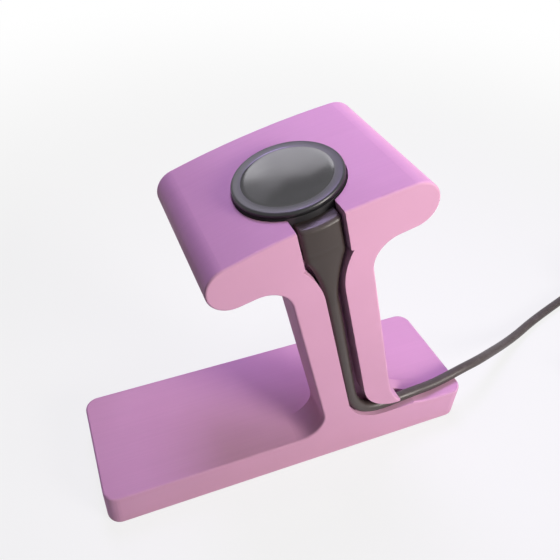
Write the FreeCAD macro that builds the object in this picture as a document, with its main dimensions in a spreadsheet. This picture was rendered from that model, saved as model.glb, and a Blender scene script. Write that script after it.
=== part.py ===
import FreeCAD, Part
import math
import os

import Sketcher

# A watch charging dock in millimetres: +X along the base towards the cable's side, +Y to the back, +Z up.
# The origin lies on the table, midway along the base and midway between the head's front and back.

os.makedirs("parts", exist_ok=True)
doc = FreeCAD.newDocument("watch_dock")
vec = FreeCAD.Vector

SIZES = {
    # base plate
    "base_length": 114.3,
    "base_depth": 36,
    "base_height": 12,
    "base_corner": 4,
    # stem, which leans towards -X about the point where its axis leaves the base
    "stem_setback": 36.7,
    "stem_lean": 15,
    "stem_width": 21.3,
    "stem_thickness": 9.5,
    "foot_radius_left": 7.5,
    "foot_radius_right": 18,
    # head with its two round-ended arms, measured up the lean
    "arm_axis": 75,
    "arm_radius": 6.3,
    "arm_reach": 28.75,
    "arm_fillet": 7.5,
    "head_crown": 1.1,
    "head_depth": 42.5,
    "edge_round": 0.6,
    # slot for the neck and the cable, cut in from the front
    "neck_slot_width": 11.5,
    "neck_slot_drop": 4.4,
    "funnel_width": 12.9,
    "funnel_radius": 20.8,
    "channel_width": 5.4,
    "slot_depth": 5.4,
    "bend_radius": 13.6,
    "exit_floor": 1.2,
    "exit_opening": 3.4,
    # charging puck
    "puck_radius": 13.5,
    "puck_clearance": 0.3,
    "puck_setback": 17.6,
    "recess_depth": 6.6,
    "puck_pad_thickness": 0.6,
    "puck_pad_width": 3,
    "housing_height": 6.2,
    "housing_wall": 1.4,
    "housing_floor": 1.2,
    "cover_thickness": 1.5,
    "cover_dish": 0.5,
    "cover_rim": 2.5,
    "cover_edge": 0.7,
    "board_thickness": 0.8,
    "board_standoff": 1,
    "post_radius": 0.9,
    "post_count": 3,
    "ferrite_thickness": 0.8,
    "coil_thickness": 1.2,
    "coil_outer_radius": 11.2,
    "coil_inner_radius": 5.2,
    "magnet_radius": 4,
    "chip_length": 3.6,
    "chip_height": 0.9,
    "capacitor_length": 1.6,
    "inductor_radius": 1.7,
    "lead_diameter": 0.9,
    "lead_length": 5,
    "lead_spread": 2.4,
    # neck, the moulded strain relief that turns down into the slot
    "neck_width": 10.6,
    "neck_thickness": 4.2,
    "neck_setback": 0.4,
    "neck_top_gap": 1.5,
    "neck_shoulder": 4,
    "neck_length": 26,
    "neck_tip_width": 3.8,
    "neck_edge": 1,
    "collar_height": 4.2,
    # cable, its put-away coil and its plug
    "cable_diameter": 3,
    "coil_mid_radius": 16.5,
    "coil_band_width": 9.2,
    "coil_band_height": 10.3,
    "notch_length": 14,
    "notch_play": 0.3,
    "tie_thickness": 0.6,
    "tie_width": 6,
    "plug_width": 15.5,
    "plug_height": 7.5,
    "plug_length": 24,
    "plug_edge": 1.5,
    "plug_relief_length": 12,
    "plug_relief_radius": 2.9,
    "plug_relief_tip": 1.9,
    "shell_width": 12,
    "shell_height": 4.5,
    "shell_length": 12,
    "shell_wall": 0.3,
    "tongue_height": 1.9,
    "tongue_setback": 0.6,
    "contact_width": 1,
    "contact_pitch": 2.5,
    "contact_length": 8,
    "contact_height": 0.2,
}

sheet = doc.addObject("Spreadsheet::Sheet", "dims")
for row, (alias, value) in enumerate(SIZES.items(), start=1):
    sheet.set(f"A{row}", alias)
    sheet.set(f"B{row}", str(value))
    sheet.setAlias(f"B{row}", alias)
doc.recompute()


def size(alias):
    """One driving dimension, read from the sheet."""
    return float(sheet.get(alias))


# Expressions and values that several pieces share
FRONT = "-dims.head_depth / 2"
STEM_X = "(dims.base_length / 2 - dims.stem_setback)"
HEAD_TOP = "(dims.arm_axis + dims.arm_radius + dims.head_crown)"
RECESS_FLOOR = f"({HEAD_TOP} - dims.recess_depth)"
HOUSING_BOTTOM = f"({RECESS_FLOOR} + dims.puck_pad_thickness)"
HOUSING_TOP = f"({HOUSING_BOTTOM} + dims.housing_height)"
BOARD_BOTTOM = f"({HOUSING_BOTTOM} + dims.housing_floor + dims.board_standoff)"
BOARD_TOP = f"({BOARD_BOTTOM} + dims.board_thickness)"
PUCK_Y = f"({FRONT} + dims.puck_setback)"
CAVITY_RADIUS = "(dims.puck_radius - dims.housing_wall)"

front = -size("head_depth") / 2
stem_x = size("base_length") / 2 - size("stem_setback")
lean = math.radians(size("stem_lean"))
head_top = size("arm_axis") + size("arm_radius") + size("head_crown")


def body(label):
    item = doc.addObject("PartDesign::Body", label)
    item.Label = label
    return item


def primitive(kind, label, **sizes):
    item = doc.addObject(kind, label)
    item.Label = label
    for name, expression in sizes.items():
        item.setExpression(name, str(expression))
    return item


def place(item, across="0", height="0", y=FRONT):
    """Put an item in the stem's leaning frame: across the stem, up the lean, and y from the front."""
    item.Placement = FreeCAD.Placement(vec(), FreeCAD.Rotation(vec(0, 1, 0), -size("stem_lean")))
    item.setExpression("Placement.Rotation.Angle", "-dims.stem_lean * 1 deg")
    item.setExpression(
        "Placement.Base.x",
        f"{STEM_X} + ({across}) * cos(dims.stem_lean) - ({height}) * sin(dims.stem_lean)",
    )
    item.setExpression("Placement.Base.y", y)
    item.setExpression(
        "Placement.Base.z",
        f"dims.base_height + ({across}) * sin(dims.stem_lean) + ({height}) * cos(dims.stem_lean)",
    )
    return item


def plane(owner, role):
    return next(f for f in owner.Origin.OriginFeatures if f.Role == role)


def sketch(owner, name, role, geometry):
    """A sketch of lines, arcs and circles on one of the body's own planes."""
    made = owner.newObject("Sketcher::SketchObject", name)
    made.AttachmentSupport = [(plane(owner, role), "")]
    made.MapMode = "FlatFace"
    made.addGeometry(geometry, False)
    return made


def segment(a, b):
    return Part.LineSegment(vec(*a, 0), vec(*b, 0))


def bow(a, b, c):
    """An arc from a through b to c."""
    return Part.Arc(vec(*a, 0), vec(*b, 0), vec(*c, 0))


def around(centre, radius, degrees):
    angle = math.radians(degrees)
    return (centre[0] + radius * math.cos(angle), centre[1] + radius * math.sin(angle))


def round_bow(centre, radius, start, end):
    points = [around(centre, radius, a) for a in (start, (start + end) / 2, end)]
    return bow(*points)


def ring_sketch(owner, name, role, radii):
    """Concentric circles about the body's origin, each radius bound to its expression."""
    circles = [Part.Circle(vec(), vec(0, 0, 1), 1 + i) for i in range(len(radii))]
    made = sketch(owner, name, role, circles)
    for index, expression in enumerate(radii):
        made.addConstraint(Sketcher.Constraint("Coincident", index, 3, -1, 1))
        made.addConstraint(Sketcher.Constraint("Radius", index, 1 + index))
        made.setExpression(f"Constraints[{2 * index + 1}]", expression)
    return made


def pad(owner, name, profile, length, reverse=False):
    made = owner.newObject("PartDesign::Pad", name)
    made.Profile = profile
    made.Reversed = reverse
    made.setExpression("Length", length)
    doc.recompute()
    return made


def pocket(owner, name, profile, length, reverse=False):
    """A pocket that has to take something off the body."""
    before = owner.Shape.Volume
    made = owner.newObject("PartDesign::Pocket", name)
    made.Profile = profile
    made.Reversed = reverse
    made.setExpression("Length", length)
    doc.recompute()
    if not owner.Shape.Volume < before - 1e-6:
        raise RuntimeError(f"{name} cuts nothing")
    return made


# Stand: base, leaning stem and head, printed as one piece

def in_lean(point):
    """Stem coordinates (across, up) of a point given along the base and above its top, from the axis."""
    x, z = point
    return (x * math.cos(lean) + z * math.sin(lean), -x * math.sin(lean) + z * math.cos(lean))


def stem_outline():
    """Stem with a fillet on each side of its foot and under each arm, from inside the base into the head."""
    half = size("stem_width") / 2
    fillet = size("arm_fillet")
    low = size("arm_axis") - size("arm_radius")
    fat = half + fillet
    down = -size("base_height") / 2
    lines = []
    below = []
    for side, radius in ((-1, size("foot_radius_left")), (1, size("foot_radius_right"))):
        # the foot's fillet touches the base's top and the stem's side
        turn = math.pi / 2 + side * lean
        reach = side * (half / math.cos(lean) + radius / math.tan(turn / 2))
        centre = in_lean((reach, radius))
        on_base = in_lean((reach, 0))
        on_stem = (side * half, centre[1])
        corner = in_lean((side * half / math.cos(lean), 0))
        gap = math.hypot(corner[0] - centre[0], corner[1] - centre[1])
        middle = tuple(centre[i] + (corner[i] - centre[i]) * radius / gap for i in (0, 1))
        below.append(in_lean((reach, down)))
        lines += [segment(below[-1], on_base), bow(on_base, middle, on_stem)]
        # the arm's fillet touches the stem's side and the head's underside
        bulge = fillet * (1 - math.sqrt(0.5))
        lines.append(segment(on_stem, (side * half, low - fillet)))
        under_arm = (side * (half + bulge), low - bulge)
        lines.append(bow((side * half, low - fillet), under_arm, (side * fat, low)))
        lines.append(segment((side * fat, low), (side * fat, size("arm_axis"))))
    lines.append(segment((-fat, size("arm_axis")), (fat, size("arm_axis"))))
    lines.append(segment(*below))
    return lines


def head_outline():
    """A slab with round ends and a crowned top."""
    radius = size("arm_radius")
    axis = size("arm_axis")
    reach = size("arm_reach") - radius
    rise = size("head_crown") + radius
    # the crown's arc touches both end circles
    crown = (reach**2 + rise**2 - radius**2) / (2 * (rise - radius))
    tilt = math.asin(reach / (crown - radius))
    touch = (reach + radius * math.sin(tilt), axis + radius * math.cos(tilt))
    low = axis - radius
    lines = [bow((-touch[0], touch[1]), (0, axis + rise), touch), segment((-reach, low), (reach, low))]
    for side in (-1, 1):
        lines.append(bow((side * touch[0], touch[1]), (side * (reach + radius), axis), (side * reach, low)))
    return lines


def slot_outline():
    """Neck slot, funnel, channel and the bend that lets the cable out over the right foot."""
    neck = size("neck_slot_width") / 2
    mouth = size("funnel_width") / 2
    channel = size("channel_width") / 2
    step = size("arm_axis") - size("neck_slot_drop")
    above = head_top + size("head_crown")
    radius = size("funnel_radius")
    offset = mouth - channel
    fall = math.sqrt(2 * radius * offset - offset**2)
    fade = step - fall
    half_angle = math.asin(fall / radius) / 2
    swell = radius * (1 - math.cos(half_angle))
    lines = [segment((-neck, above), (neck, above))]
    for side in (-1, 1):
        lines.append(segment((side * neck, above), (side * neck, step)))
        lines.append(segment((side * neck, step), (side * mouth, step)))
        middle = (side * (channel + swell), fade + radius * math.sin(half_angle))
        lines.append(bow((side * mouth, step), middle, (side * channel, fade)))
    # the bend turns each side of the channel level, low side first
    bend = size("bend_radius")
    turn = math.pi / 2 - lean
    ends = []
    for side, level in ((-1, size("exit_floor")), (1, size("exit_floor") + size("exit_opening"))):
        centre_up = level + bend
        # the arc's centre lies one radius to the right of the channel's side
        start_u = side * channel
        start_v = (centre_up - (start_u + bend) * math.sin(lean)) / math.cos(lean)
        centre = (start_u + bend, start_v)
        level_point = (centre[0] + bend * math.sin(-lean), centre[1] - bend * math.cos(lean))
        half_way = math.pi + turn / 2
        middle = (centre[0] + bend * math.cos(half_way), centre[1] + bend * math.sin(half_way))
        lines.append(segment((start_u, fade), (start_u, start_v)))
        lines.append(bow((start_u, start_v), middle, level_point))
        outside = size("stem_width") / 2 / math.cos(lean) + size("foot_radius_right")
        end = in_lean((outside, level))
        lines.append(segment(level_point, end))
        ends.append(end)
    lines.append(segment(*ends))
    return lines


def sharp_edges(shape, y, depth):
    """Names of the edges in the plane at y that stick out, where a face beside them is deeper than depth."""
    step = 0.01
    names = []
    for index, edge in enumerate(shape.Edges, start=1):
        box = edge.BoundBox
        if max(abs(box.YMin - y), abs(box.YMax - y)) > step:
            continue
        sides = [face for face in shape.Faces if any(edge.isSame(other) for other in face.Edges)]
        point = edge.valueAt((edge.FirstParameter + edge.LastParameter) / 2)
        normals = [face.normalAt(*face.Surface.parameter(point)) for face in sides]
        sharp = math.degrees(normals[0].getAngle(normals[1])) > 30
        deep = max(face.BoundBox.YLength for face in sides) > depth + step
        beside = point + normals[0] * step - normals[1] * (step / 5)
        if sharp and deep and not shape.isInside(beside, step / 100, False):
            names.append(f"Edge{index}")
    return names


def round_edges(owner, name, names, radius):
    last = owner.Tip
    made = owner.newObject("PartDesign::Fillet", name)
    made.Base = (last, names)
    made.setExpression("Radius", radius)
    doc.recompute()
    return made


def front_sketch(owner, name, geometry):
    """A sketch on the stand's front face, in the stem's leaning frame."""
    made = sketch(owner, name, "XZ_Plane", geometry)
    turn = FreeCAD.Rotation(vec(0, 0, 1), size("stem_lean"))
    made.AttachmentOffset = FreeCAD.Placement(vec(), turn)
    made.setExpression("AttachmentOffset.Base.x", STEM_X)
    made.setExpression("AttachmentOffset.Base.y", "dims.base_height")
    made.setExpression("AttachmentOffset.Base.z", "dims.head_depth / 2")
    made.setExpression("AttachmentOffset.Rotation.Angle", "dims.stem_lean * 1 deg")
    return made


def make_stand():
    stand = body("dock_stand")
    half = size("base_length") / 2
    r = size("base_corner")
    back = front + size("base_depth")
    corners = [(half - r, front + r), (half - r, back - r), (r - half, back - r), (r - half, front + r)]
    lines = [round_bow(c, r, 90 * i - 90, 90 * i) for i, c in enumerate(corners)]
    lines += [segment((half, front + r), (half, back - r)), segment((-half, front + r), (-half, back - r))]
    lines += [segment((r - half, y), (half - r, y)) for y in (front, back)]
    pad(stand, "base", sketch(stand, "base_plan", "XY_Plane", lines), "dims.base_height")
    stem = front_sketch(stand, "stem_front", stem_outline())
    pad(stand, "stem", stem, "dims.stem_thickness", reverse=True)
    head = front_sketch(stand, "head_front", head_outline())
    pad(stand, "head", head, "dims.head_depth", reverse=True)
    pocket(stand, "cable_slot", front_sketch(stand, "slot_front", slot_outline()), "dims.slot_depth")
    seat = ring_sketch(stand, "puck_seat", "XY_Plane", ["dims.puck_radius + dims.puck_clearance"])
    turn = FreeCAD.Rotation(vec(0, 1, 0), -size("stem_lean"))
    seat.AttachmentOffset = FreeCAD.Placement(vec(), turn)
    seat.setExpression("AttachmentOffset.Base.x", f"{STEM_X} - {RECESS_FLOOR} * sin(dims.stem_lean)")
    seat.setExpression("AttachmentOffset.Base.y", PUCK_Y)
    seat.setExpression("AttachmentOffset.Base.z", f"dims.base_height + {RECESS_FLOOR} * cos(dims.stem_lean)")
    seat.setExpression("AttachmentOffset.Rotation.Angle", "-dims.stem_lean * 1 deg")
    pocket(stand, "puck_recess", seat, "dims.recess_depth + dims.head_crown", reverse=True)
    for name, y in (("front", front), ("head_back", -front)):
        edges = sharp_edges(stand.Shape, y, size("slot_depth"))
        round_edges(stand, name + "_rounding", edges, "dims.edge_round")
    return stand


# Puck: a shallow cup with a dished cover, and what charges the watch inside it

def make_housing():
    cup = place(body("puck_housing"), height=HOUSING_BOTTOM, y=PUCK_Y)
    pad(cup, "cup", ring_sketch(cup, "cup_plan", "XY_Plane", ["dims.puck_radius"]), "dims.housing_height")
    room = ring_sketch(cup, "room_plan", "XY_Plane", [CAVITY_RADIUS])
    room.setExpression("AttachmentOffset.Base.z", "dims.housing_floor")
    pocket(cup, "room", room, "dims.housing_height", reverse=True)
    out = size("coil_outer_radius") - 2 * size("post_radius")
    circle = Part.Circle(vec(out, 0, 0), vec(0, 0, 1), size("post_radius"))
    post = sketch(cup, "post_plan", "XY_Plane", [circle])
    post.addConstraint(Sketcher.Constraint("PointOnObject", 0, 3, -1))
    post.addConstraint(Sketcher.Constraint("DistanceX", -1, 1, 0, 3, out))
    post.addConstraint(Sketcher.Constraint("Radius", 0, size("post_radius")))
    post.setExpression("Constraints[1]", "dims.coil_outer_radius - 2 * dims.post_radius")
    post.setExpression("Constraints[2]", "dims.post_radius")
    post.setExpression("AttachmentOffset.Base.z", "dims.housing_floor")
    raised = pad(cup, "post", post, "dims.board_standoff")
    posts = cup.newObject("PartDesign::PolarPattern", "posts")
    posts.Originals = [raised]
    posts.Axis = (plane(cup, "Z_Axis"), [""])
    posts.Angle = 360
    posts.setExpression("Occurrences", "dims.post_count")
    cup.Tip = posts
    doc.recompute()
    return cup


def make_cover():
    cover = place(body("puck_cover"), height=HOUSING_TOP, y=PUCK_Y)
    outer = size("puck_radius")
    top = size("cover_thickness")
    edge = size("cover_edge")
    dish = size("cover_dish")
    hollow = outer - size("cover_rim")
    ball = (hollow**2 + dish**2) / (2 * dish)
    middle = (hollow / 2, top - dish + ball - math.sqrt(ball**2 - hollow**2 / 4))
    lines = [
        segment((0, 0), (outer, 0)),
        segment((outer, 0), (outer, top - edge)),
        round_bow((outer - edge, top - edge), edge, 0, 90),
        segment((outer - edge, top), (hollow, top)),
        bow((hollow, top), middle, (0, top - dish)),
        segment((0, top - dish), (0, 0)),
    ]
    turned = cover.newObject("PartDesign::Revolution", "disc")
    turned.Profile = sketch(cover, "disc_profile", "XZ_Plane", lines)
    turned.ReferenceAxis = (turned.Profile[0], ["V_Axis"])
    turned.Angle = 360
    doc.recompute()
    return cover


def ring(label, outer, inner, thickness, height):
    """A flat ring of the puck, at its own height up the lean."""
    made = place(body(label), height=height, y=PUCK_Y)
    pad(made, label + "_disc", ring_sketch(made, label + "_plan", "XY_Plane", [outer, inner]), thickness)
    return made


def disc(label, radius, thickness, height, across="0"):
    """A solid disc of the puck, at its own height up the lean."""
    made = primitive("Part::Cylinder", label, Radius=radius, Height=thickness)
    return place(made, across, height, PUCK_Y)


def chip(label, length, width, height, across, back):
    """A flat component on the board, centred across and back from the puck's axis."""
    box = primitive("Part::Box", label, Length=length, Width=width, Height=height)
    return place(box, f"({across}) - ({length}) / 2", BOARD_TOP, f"{PUCK_Y} + ({back}) - ({width}) / 2")


def make_puck():
    make_housing()
    make_cover()
    pad_inner = f"{CAVITY_RADIUS} - dims.puck_pad_width"
    ring("puck_base_pad", CAVITY_RADIUS, pad_inner, "dims.puck_pad_thickness", RECESS_FLOOR)
    ferrite_bottom = f"({HOUSING_TOP} - dims.coil_thickness - dims.ferrite_thickness)"
    outer, inner = "dims.coil_outer_radius", "dims.coil_inner_radius"
    ring("ferrite_shield", f"{outer} + 0.3", inner, "dims.ferrite_thickness", ferrite_bottom)
    ring("charging_coil", outer, inner, "dims.coil_thickness", f"({HOUSING_TOP} - dims.coil_thickness)")
    disc("circuit_board", outer, "dims.board_thickness", BOARD_BOTTOM)
    disc("alignment_magnet", "dims.magnet_radius", f"{HOUSING_TOP} - {BOARD_TOP}", BOARD_TOP)
    spot = "(dims.coil_outer_radius + dims.magnet_radius) / 2"
    chip("controller_chip", "dims.chip_length", "dims.chip_length", "dims.chip_height", f"-{spot}", "0")
    for index, side in enumerate((-1, 1), start=1):
        length = "dims.capacitor_length"
        chip(f"capacitor_{index}", length, f"{length} / 2", f"{length} / 2", f"{side} * {length}", spot)
    disc("power_inductor", "dims.inductor_radius", "dims.chip_height", BOARD_TOP, spot)
    # the cable's two leads come through the wall from the neck and lie on the board
    for index, side in enumerate((-1, 1), start=1):
        radius = "dims.lead_diameter / 2"
        lead = primitive("Part::Cylinder", f"supply_lead_{index}", Radius=radius, Height="dims.lead_length")
        reach = f"sqrt({CAVITY_RADIUS}^2 - (dims.lead_spread / 2 + {radius})^2)"
        place(lead, f"{side} * dims.lead_spread / 2", f"{BOARD_TOP} + {radius}", f"{PUCK_Y} - {reach}")
        lead.setExpression("Placement.Rotation.Angle", None)
        lead.Placement.Rotation = FreeCAD.Rotation(vec(1, 0, 0), -90)


# Neck: the cable's moulded strain relief, which leaves the puck's side and turns down into the slot

def neck_outline():
    half = size("neck_width") / 2
    tip = size("neck_tip_width") / 2
    top = head_top - size("neck_top_gap")
    bottom = top - size("neck_length")
    shoulder = size("arm_axis") - size("neck_shoulder")
    drop = shoulder - bottom
    waist = half - tip
    radius = (drop**2 + waist**2) / (2 * waist)
    half_angle = math.asin(drop / radius) / 2
    swell = (tip + radius * (1 - math.cos(half_angle)), bottom + radius * math.sin(half_angle))
    lines = [segment((-half, top), (half, top)), segment((-tip, bottom), (tip, bottom))]
    for side in (-1, 1):
        lines.append(segment((side * half, top), (side * half, shoulder)))
        lines.append(bow((side * half, shoulder), (side * swell[0], swell[1]), (side * tip, bottom)))
    return lines


def make_neck():
    neck = place(body("cable_neck"))
    outline = sketch(neck, "neck_front", "XZ_Plane", neck_outline())
    outline.setExpression("AttachmentOffset.Base.z", "-dims.neck_setback")
    pad(neck, "neck_plate", outline, "dims.neck_thickness", reverse=True)
    half = size("neck_width") / 2
    top = head_top - size("neck_top_gap")
    low = top - size("collar_height")
    corners = [(-half, low), (half, low), (half, top), (-half, top)]
    lines = [segment(corners[i - 1], corners[i]) for i in range(4)]
    collar = sketch(neck, "collar_front", "XZ_Plane", lines)
    collar.setExpression("AttachmentOffset.Base.z", "-dims.neck_setback")
    pad(neck, "collar", collar, "dims.puck_setback - dims.neck_setback", reverse=True)
    seat = ring_sketch(neck, "puck_outline", "XY_Plane", ["dims.puck_radius"])
    seat.setExpression("AttachmentOffset.Base.y", "dims.puck_setback")
    seat.setExpression("AttachmentOffset.Base.z", RECESS_FLOOR)
    pocket(neck, "puck_seat_in_neck", seat, "dims.recess_depth", reverse=True)
    edges = sharp_edges(neck.Tip.Shape, size("neck_setback"), 0)
    round_edges(neck, "neck_rounding", edges, "dims.neck_edge")
    return neck


# Cable: one free stretch down the slot and over the base, a put-away coil, and a tail to the plug

# Points along the cable's centre, after the neck's tip to the coil, and from the coil to the plug
CABLE_ROUTE = [
    (17.66, -18.75, 22.4),
    (21.9, -18.75, 17.55),
    (28.0, -18.7, 15.02),
    (38.2, -18.2, 14.95),
    (46.5, -17.3, 13.6),
    (53.0, -16.3, 13.55),
    (60.5, -14.9, 13.6),
    (68.5, -12.8, 12.0),
    (77.0, -9.4, 8.9),
    (87.0, -5.3, 5.1),
    (97.0, -1.3, 2.5),
    (107.0, 2.7, 1.6),
    (118.0, 6.1, 1.55),
    (131.5, 9.9, 1.65),
    (144.5, 14.2, 2.0),
    (156.3, 18.4, 2.12),
]
TAIL_ROUTE = [
    (165.5, 13.2, 9.6),
    (173.5, 9.2, 13.4),
    (179.5, 1.5, 13.8),
    (182.6, -8.0, 12.9),
    (182.0, -18.0, 9.2),
    (176.6, -26.6, 5.4),
    (167.5, -30.0, 3.75),
    (157.0, -30.0, 3.75),
]
COIL_CENTRE = (163, 0)
PLUG_START = TAIL_ROUTE[-1]


def arc_radii(points):
    """The radius of the bend at each inner point, from its two runs and its turn."""
    spots = [vec(*p) for p in points]
    radii = []
    for before, here, after in zip(spots, spots[1:], spots[2:]):
        turn = (here - before).getAngle(after - here)
        radii.append(0.45 * min((here - before).Length, (after - here).Length) / math.tan(turn / 2))
    return radii


def tube_along(points, diameter):
    """A round tube along straight runs joined by tangent arcs, and the length of its path."""
    spots = [vec(*p) for p in points]
    edges = []
    last = spots[0]
    for before, here, after in zip(spots, spots[1:], spots[2:]):
        trim = 0.45 * min((here - before).Length, (after - here).Length)
        into = (here - before).normalize()
        out = (after - here).normalize()
        start = here - into * trim
        end = here + out * trim
        turn = into.getAngle(out)
        inward = (out - into).normalize()
        radius = trim / math.tan(turn / 2)
        middle = here + inward * (radius / math.cos(turn / 2) - radius)
        edges += [Part.LineSegment(last, start).toShape(), Part.Arc(start, middle, end).toShape()]
        last = end
    edges.append(Part.LineSegment(last, spots[-1]).toShape())
    path = Part.Wire(edges)
    circle = Part.Circle(spots[0], spots[1] - spots[0], diameter / 2).toShape()
    return path.makePipeShell([Part.Wire([circle])], True, False), path.Length


def cord(label, points):
    diameter = size("cable_diameter")
    tube, length = tube_along(points, diameter)
    section = math.pi * diameter**2 / 4
    radii = ", ".join(f"{r:.1f}" for r in arc_radii(points))
    share = tube.Volume / section / length
    print(f"{label}: path {length:.1f}, volume over section times length {share:.4f}")
    print(f"{label}: bend radii {radii}")
    return tube


def feature(label, shape):
    item = doc.addObject("Part::Feature", label)
    item.Label = label
    item.Shape = shape
    return item


def make_coil():
    """The closed outer shape of the put-away turns, lying on the tie's band, notched where its ends leave."""
    coil = body("coil_turns")
    coil.Placement = FreeCAD.Placement(vec(*COIL_CENTRE, size("tie_thickness")), FreeCAD.Rotation())
    coil.setExpression("Placement.Base.z", "dims.tie_thickness")
    half = size("coil_band_width") / 2
    inner = size("coil_mid_radius") - half
    outer = size("coil_mid_radius") + half
    tall = size("coil_band_height")
    r = size("cable_diameter") / 2
    corners = [(outer - r, r, -90), (outer - r, tall - r, 0), (inner + r, tall - r, 90), (inner + r, r, 180)]
    lines = [round_bow((x, y), r, start, start + 90) for x, y, start in corners]
    lines += [segment((outer, r), (outer, tall - r)), segment((inner, r), (inner, tall - r))]
    lines += [segment((inner + r, y), (outer - r, y)) for y in (0, tall)]
    turned = coil.newObject("PartDesign::Revolution", "turns")
    turned.Profile = sketch(coil, "turns_section", "XZ_Plane", lines)
    turned.ReferenceAxis = (turned.Profile[0], ["V_Axis"])
    turned.Angle = 360
    entry = notch("entry_notch", CABLE_ROUTE[-1], CABLE_ROUTE[-2])
    leave = notch("leave_notch", TAIL_ROUTE[0], TAIL_ROUTE[1])
    return cut("cable_coil", cut("coil_with_entry", coil, entry), leave)


def notch(label, end, onward):
    """A box round the stretch of cable that starts at its end in the turns and goes onward out of them."""
    wide = "dims.cable_diameter + dims.notch_play"
    box = primitive("Part::Box", label, Length="dims.notch_length", Width=wide, Height=wide)
    half = (size("cable_diameter") + size("notch_play")) / 2
    turn = FreeCAD.Rotation(vec(1, 0, 0), vec(*onward) - vec(*end))
    box.Placement = FreeCAD.Placement(vec(*end) + turn.multVec(vec(0, -half, -half)), turn)
    return box


def make_tie(coil):
    """A flat band drawn tight round the turns, on the side away from the dock."""
    band = primitive(
        "Part::Box", "tie_band", Width="dims.tie_width",
        Height="dims.coil_band_height + 2 * dims.tie_thickness",
    )
    near = "sqrt((dims.coil_mid_radius - dims.coil_band_width / 2)^2 - (dims.tie_width / 2)^2)"
    far = "(dims.coil_mid_radius + dims.coil_band_width / 2)"
    band.setExpression("Length", f"{far} - {near} + 2 * dims.tie_thickness")
    band.setExpression("Placement.Base.x", f"{COIL_CENTRE[0]} + {near} - dims.tie_thickness")
    band.setExpression("Placement.Base.y", f"{COIL_CENTRE[1]} - dims.tie_width / 2")
    return cut("cable_tie", band, coil)


def cut(label, base, tool):
    made = doc.addObject("Part::Cut", label)
    made.Label = label
    made.Base = base
    made.Tool = tool
    return made


def make_plug():
    """A plug lying flat and pointing back towards the dock."""
    x, y, z = PLUG_START
    high = "dims.plug_height / 2"
    turn = FreeCAD.Rotation(vec(0, 1, 0), -90)
    relief = primitive(
        "Part::Cone", "plug_relief", Radius1="dims.plug_relief_tip",
        Radius2="dims.plug_relief_radius", Height="dims.plug_relief_length",
    )
    relief.Placement = FreeCAD.Placement(vec(x, y, z), turn)
    relief.setExpression("Placement.Base.z", high)

    grip = body("plug_grip")
    grip.Placement = FreeCAD.Placement(vec(x, y, z), turn)
    grip.setExpression("Placement.Base.x", f"{x} - dims.plug_relief_length")
    grip.setExpression("Placement.Base.z", high)
    end = sketch(grip, "grip_end", "XY_Plane", rectangle("plug_height", "plug_width"))
    block = pad(grip, "grip_block", end, "dims.plug_length")
    every = [f"Edge{i + 1}" for i in range(len(block.Shape.Edges))]
    round_edges(grip, "grip_rounding", every, "dims.plug_edge")

    shell_x = f"{x} - dims.plug_relief_length - dims.plug_length"
    wall = "dims.shell_wall"
    long = "dims.shell_length"
    tongue_width = f"dims.shell_width - 2 * {wall}"
    outside = plug_box("shell_outside", shell_x, y, long, "dims.shell_width", "dims.shell_height")
    inside = plug_box("shell_inside", shell_x, y, long, tongue_width, f"dims.shell_height - 2 * {wall}")
    cut("plug_shell", outside, inside)
    tongue = plug_box("plug_tongue", shell_x, y, "dims.shell_length - dims.tongue_setback",
                      tongue_width, "dims.tongue_height")
    tongue.setExpression("Placement.Base.z", f"{high} + dims.shell_height / 2 - {wall} - dims.tongue_height")
    for index in range(4):
        centre = f"{y} + {index - 1.5} * dims.contact_pitch"
        contact = plug_box(f"plug_contact_{index + 1}", f"{shell_x} - dims.tongue_setback", centre,
                           "dims.contact_length", "dims.contact_width", "dims.contact_height")
        under = f"{high} + dims.shell_height / 2 - {wall} - dims.tongue_height - dims.contact_height"
        contact.setExpression("Placement.Base.z", under)


def rectangle(across, along):
    """A rectangle about the origin, from the names of its two sizes."""
    a, b = size(across) / 2, size(along) / 2
    corners = [(-a, -b), (a, -b), (a, b), (-a, b)]
    return [segment(corners[i - 1], corners[i]) for i in range(4)]


def plug_box(label, x, y, length, width, height):
    """A box that reaches from x towards -X, centred on y and on the plug's axis."""
    box = primitive("Part::Box", label, Length=length, Width=width, Height=height)
    box.setExpression("Placement.Base.x", f"{x} - ({length})")
    box.setExpression("Placement.Base.y", f"{y} - ({width}) / 2")
    box.setExpression("Placement.Base.z", f"dims.plug_height / 2 - ({height}) / 2")
    return box


def make_cords():
    make_tie(make_coil())
    make_plug()
    doc.recompute()
    tip = head_top - size("neck_top_gap") - size("neck_length")
    depth = size("neck_setback") + size("neck_thickness") / 2
    start = (stem_x - tip * math.sin(lean), front + depth, size("base_height") + tip * math.cos(lean))
    feature("cable", cord("cable", [start] + CABLE_ROUTE))
    feature("cable_tail", cord("cable_tail", TAIL_ROUTE))


NODES = [
    "dock_stand",
    "puck_housing", "puck_cover", "puck_base_pad", "charging_coil", "ferrite_shield", "alignment_magnet",
    "circuit_board", "controller_chip", "capacitor_1", "capacitor_2", "power_inductor",
    "supply_lead_1", "supply_lead_2",
    "cable_neck", "cable", "cable_coil", "cable_tie", "cable_tail",
    "plug_relief", "plug_grip", "plug_shell", "plug_tongue",
] + [f"plug_contact_{i}" for i in range(1, 5)]


def check_and_write():
    doc.recompute()
    for item in doc.Objects:
        if {"Invalid", "Error"} & set(item.State):
            raise RuntimeError(f"{item.Label} failed: {item.State}")
    parts = {item.Label: item for item in doc.Objects if item.Label in NODES}
    for name in NODES:
        shape = parts[name].Shape
        if shape.isNull() or not shape.isValid() or not shape.Solids:
            raise RuntimeError(f"{name} has no valid shape")
    for name in NODES:
        parts[name].Shape.exportStep(f"parts/{name}.step")
    print(f"{len(NODES)} parts written")


make_stand()
make_puck()
make_neck()
make_cords()
check_and_write()
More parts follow.
